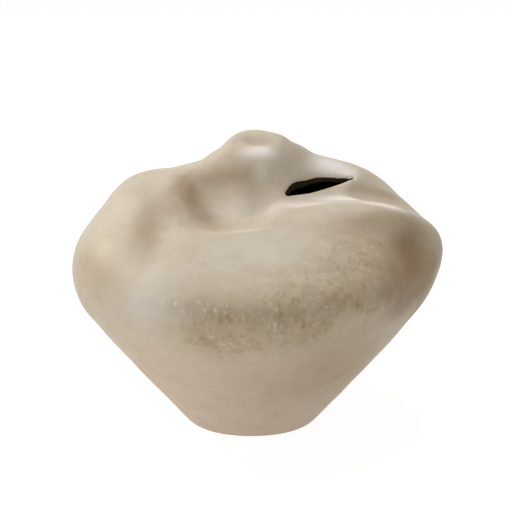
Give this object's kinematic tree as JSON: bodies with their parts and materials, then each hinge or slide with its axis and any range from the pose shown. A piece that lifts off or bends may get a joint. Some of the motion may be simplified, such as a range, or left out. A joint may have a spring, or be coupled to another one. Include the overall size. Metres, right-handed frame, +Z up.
{
  "type": "pillow vase",
  "caption": "Low rounded stoneware vase with a closed, paddled top, a slot-shaped mouth in a fold, a small nub and a narrow foot, for dry or fresh stems.",
  "frame": {"origin": "on the surface that the vase stands on, below the middle of its belly", "axes": "+Z up, +X to the right along the slot when the vase is seen from its front, +Y to the back"},
  "size_m": [0.2807, 0.2769, 0.2247],
  "materials": {
    "glazed_clay": "satin-matt sand glaze with fine brown speckle",
    "bare_clay": "unglazed fired stoneware",
    "felt": "pressed wool felt"
  },
  "bodies": {
    "root": {"base_slab": "bare_clay", "lower_wall": "glazed_clay", "pillow_top": "glazed_clay", "closing_button": "glazed_clay", "felt_disc": "felt"}
  },
  "joints": []
}
